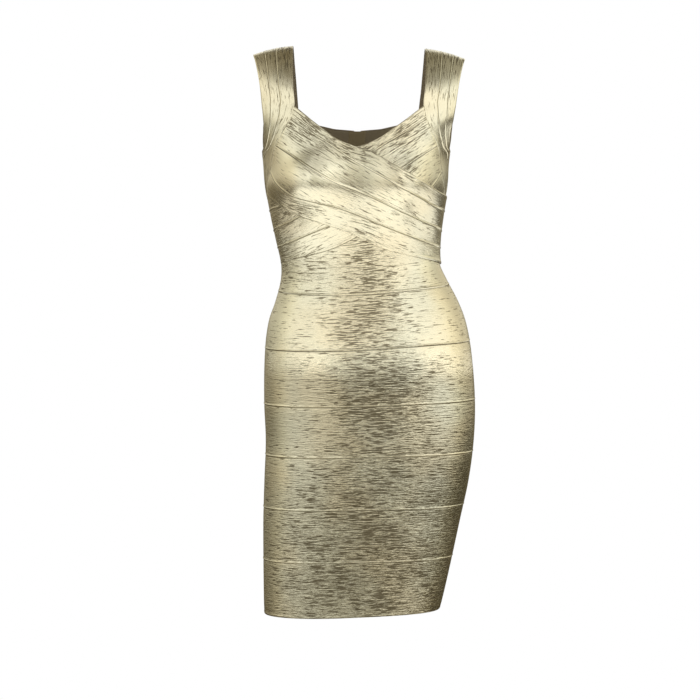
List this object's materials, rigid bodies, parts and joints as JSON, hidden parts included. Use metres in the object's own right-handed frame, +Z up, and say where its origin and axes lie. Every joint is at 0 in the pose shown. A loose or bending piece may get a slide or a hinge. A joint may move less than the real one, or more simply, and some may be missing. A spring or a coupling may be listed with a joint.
{
  "type": "bodycon dress",
  "caption": "Sleeveless dress of close-fitting knit bands that ends above the knee, with wide straps, bands crossed over the bust, and a zip down the back.",
  "frame": {"origin": "midway between the tops of the two straps, at the height where they rest on the shoulders", "axes": "+Z up, -Y the front, +X the wearer's left"},
  "size_m": [0.3431, 0.2419, 0.8775],
  "materials": {
    "foil_knit": "pale gold foil over knit",
    "woven_tape": "matt",
    "zip_metal": "polished"
  },
  "bodies": {
    "dress": {"front_band_1": "foil_knit", "front_band_2": "foil_knit", "front_band_3": "foil_knit", "front_band_4": "foil_knit", "front_band_5": "foil_knit", "front_band_6": "foil_knit", "front_band_7": "foil_knit", "back_band_1_left": "foil_knit", "back_band_1_right": "foil_knit", "back_band_2_left": "foil_knit", "back_band_2_right": "foil_knit", "back_band_3_left": "foil_knit", "back_band_3_right": "foil_knit", "back_band_4_left": "foil_knit", "back_band_4_right": "foil_knit", "back_band_5_left": "foil_knit", "back_band_5_right": "foil_knit", "back_band_6_left": "foil_knit", "back_band_6_right": "foil_knit", "back_band_7_left": "foil_knit", "back_band_7_right": "foil_knit", "back_band_upper_left": "foil_knit", "back_band_upper_right": "foil_knit", "back_yoke_left": "foil_knit", "back_yoke_right": "foil_knit", "cross_over_1": "foil_knit", "cross_over_2": "foil_knit", "cross_over_3": "foil_knit", "cross_over_4": "foil_knit", "cross_under_1": "foil_knit", "cross_under_2": "foil_knit", "cross_under_3": "foil_knit", "cross_under_4": "foil_knit", "strap_right_neck": "foil_knit", "strap_right_middle": "foil_knit", "strap_right_arm": "foil_knit", "strap_left_neck": "foil_knit", "strap_left_middle": "foil_knit", "strap_left_arm": "foil_knit", "zip_tape": "woven_tape", "zip_teeth": "zip_metal", "zip_slider": "zip_metal"},
    "zip_pull": {"zip_pull": "zip_metal"}
  },
  "joints": [
    {"name": "zip_pull_hinge", "type": "hinge", "parent": "dress", "child": "zip_pull", "pos_m": [-0.00294, 0.10665, -0.12877], "axis": [1, 0, 0], "range_deg": [-4, 165]}
  ]
}
